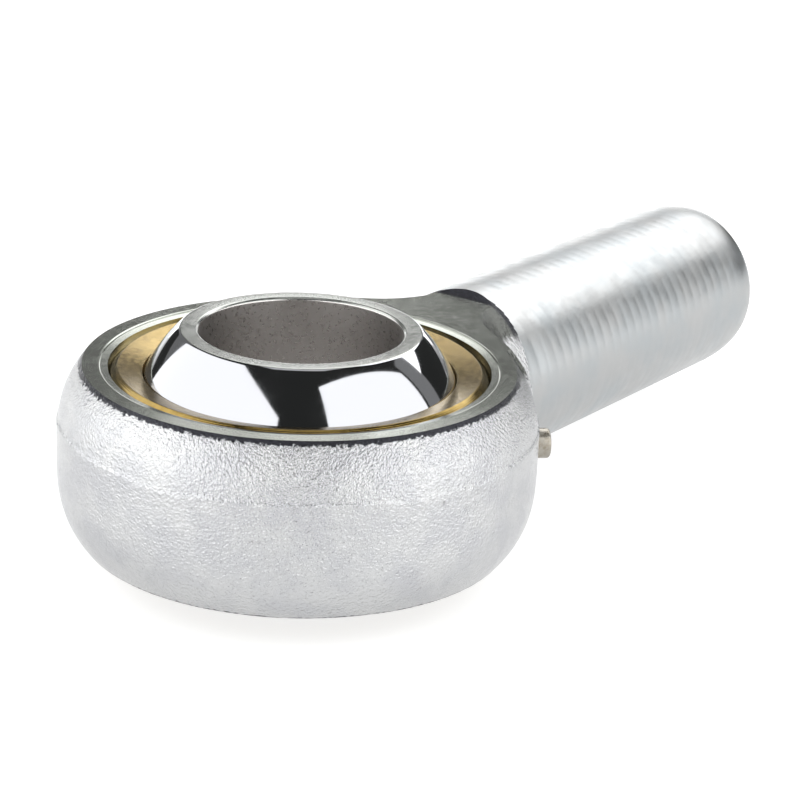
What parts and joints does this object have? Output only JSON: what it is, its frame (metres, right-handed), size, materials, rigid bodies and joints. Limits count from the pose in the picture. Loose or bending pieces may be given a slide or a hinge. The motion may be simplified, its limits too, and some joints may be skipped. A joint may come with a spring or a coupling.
{
  "type": "rod end bearing",
  "caption": "Male rod end: forged eye with a threaded shank, bronze outer ring, swivelling ball with a through bore, and a grease nipple.",
  "frame": {"origin": "centre of the ball, on the axis of its bore and midway between its side faces", "axes": "+Z along the ball's bore; +X along the threaded shank, away from the eye; the grease nipple is at -45 degrees from +X about +Z"},
  "size_m": [0.1238, 0.0596, 0.031],
  "materials": {
    "zinc_plated_forging": "bright zinc over a forged skin, turned satin side faces",
    "bronze": "turned bronze, slightly dull",
    "chromed_bearing_steel": "polished hard chrome",
    "nipple_steel": "turned, yellowish zinc",
    "spring_steel": "drawn wire",
    "grease": "wet amber grease"
  },
  "bodies": {
    "eye": {"rod_end_body": "zinc_plated_forging", "outer_ring": "bronze", "nipple_body": "nipple_steel", "nipple_spring": "spring_steel", "grease_charge": "grease"},
    "upper_film": {"grease_film_upper": "grease"},
    "lower_film": {"grease_film_lower": "grease"},
    "ball": {"ball": "chromed_bearing_steel"},
    "check_ball": {"nipple_check_ball": "chromed_bearing_steel"}
  },
  "joints": [
    {"name": "ball_tilt_x", "type": "hinge", "parent": "eye", "child": "upper_film", "pos_m": [0, 0, 0], "axis": [1, 0, 0], "range_deg": [-15, 15]},
    {"name": "ball_tilt_y", "type": "hinge", "parent": "upper_film", "child": "lower_film", "pos_m": [0, 0, 0], "axis": [0, 1, 0], "range_deg": [-15, 15]},
    {"name": "ball_spin", "type": "hinge", "parent": "lower_film", "child": "ball", "pos_m": [0, 0, 0], "axis": [0, 0, 1], "continuous": true},
    {"name": "nipple_check", "type": "slide", "parent": "eye", "child": "check_ball", "axis": [-0.7071, 0.7071, 0], "range_m": [0, 0.0006], "stiffness_N_per_m": 300, "springref_m": -0.0005, "deforming": ["nipple_spring"]}
  ]
}
